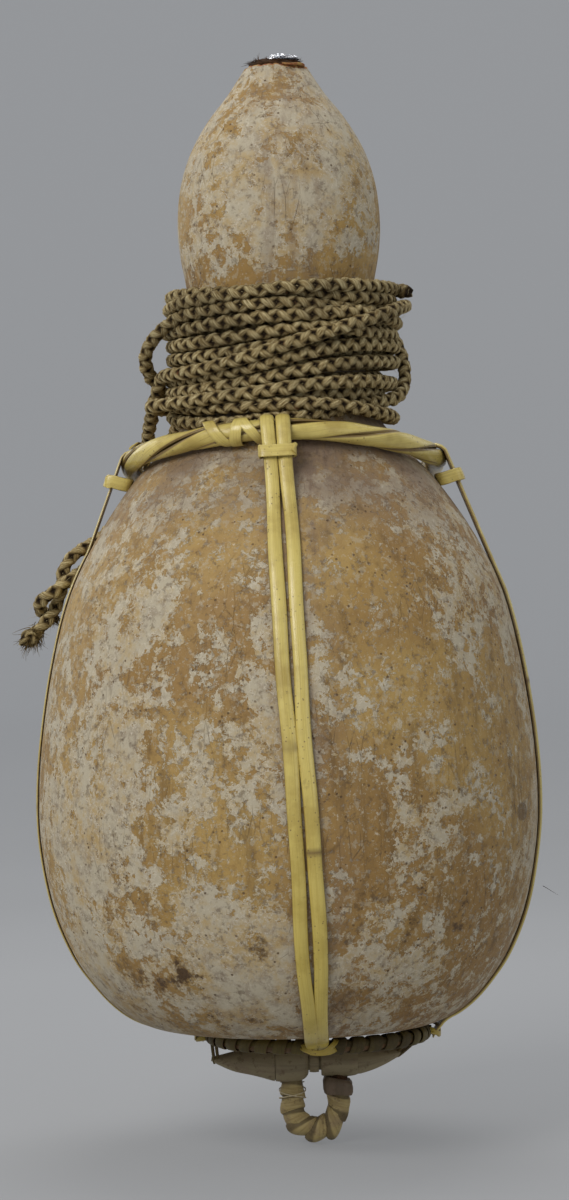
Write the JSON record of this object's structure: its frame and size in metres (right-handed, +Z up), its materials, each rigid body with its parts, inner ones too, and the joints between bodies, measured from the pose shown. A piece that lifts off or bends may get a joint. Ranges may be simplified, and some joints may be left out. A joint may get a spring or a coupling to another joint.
{
  "type": "gourd vessel in cane cage",
  "caption": "Bottle gourd water vessel held in a split-cane carrying cage, with plaited rope round its waist, a fibre stopper and a leaf-wrapped loop under the base.",
  "frame": {"origin": "on the gourd's axis, in the plane of the base hoop's flat underside", "axes": "+Z up along the gourd's axis towards its mouth, +X to the right and -Y towards the front, where the slanting cane pair runs down"},
  "size_m": [0.2928, 0.2796, 0.5981],
  "materials": {
    "gourd": "dried gourd skin, chalky grey patina worn through to ochre",
    "cane": "glossy split cane, olive yellow with brown specks",
    "dark_cane": "satin split cane, darker with handling",
    "leaf": "dry leaf strip, matt and wrinkled",
    "fibre": "packed dark plant fibre, matt",
    "foil": "crumpled bright foil",
    "rope": "coarse plaited plant fibre, matt and hairy"
  },
  "bodies": {
    "vessel": {"gourd_shell": "gourd", "collar_strand_1": "cane", "collar_strand_2": "cane", "collar_strand_3": "cane", "collar_lashing": "cane", "front_cane_left": "cane", "front_cane_right": "cane", "right_cane_front": "cane", "right_cane_rear": "cane", "back_cane_left": "cane", "back_cane_right": "cane", "left_cane_front": "cane", "left_cane_rear": "cane", "front_tie": "cane", "right_tie": "cane", "back_tie": "cane", "left_tie": "cane", "base_hoop": "dark_cane", "hoop_wraps": "dark_cane", "front_hitch": "dark_cane", "right_hitch": "dark_cane", "back_hitch": "dark_cane", "left_hitch": "dark_cane", "base_bar": "leaf", "bar_end_ties": "dark_cane", "bar_sheath_left": "leaf", "bar_sheath_middle": "leaf", "bar_sheath_right": "leaf", "rope_winding": "rope", "rope_tail": "rope", "rope_second_tail": "rope", "rope_tuft": "rope"},
    "stopper": {"stopper_plug": "fibre", "stopper_foil": "foil"},
    "carry_loop": {"loop_core": "fibre", "loop_sheath_left": "leaf", "loop_sheath_right": "leaf", "loop_wraps": "leaf", "loop_thread": "fibre", "loop_leg_band": "leaf"}
  },
  "joints": [
    {"name": "stopper_pull", "type": "slide", "parent": "vessel", "child": "stopper", "axis": [0, 0, 1], "range_m": [0, 0.06]},
    {"name": "loop_swing", "type": "hinge", "parent": "vessel", "child": "carry_loop", "pos_m": [0.011, 0, -0.0118], "axis": [1, 0, 0], "range_deg": [-30, 30]}
  ]
}
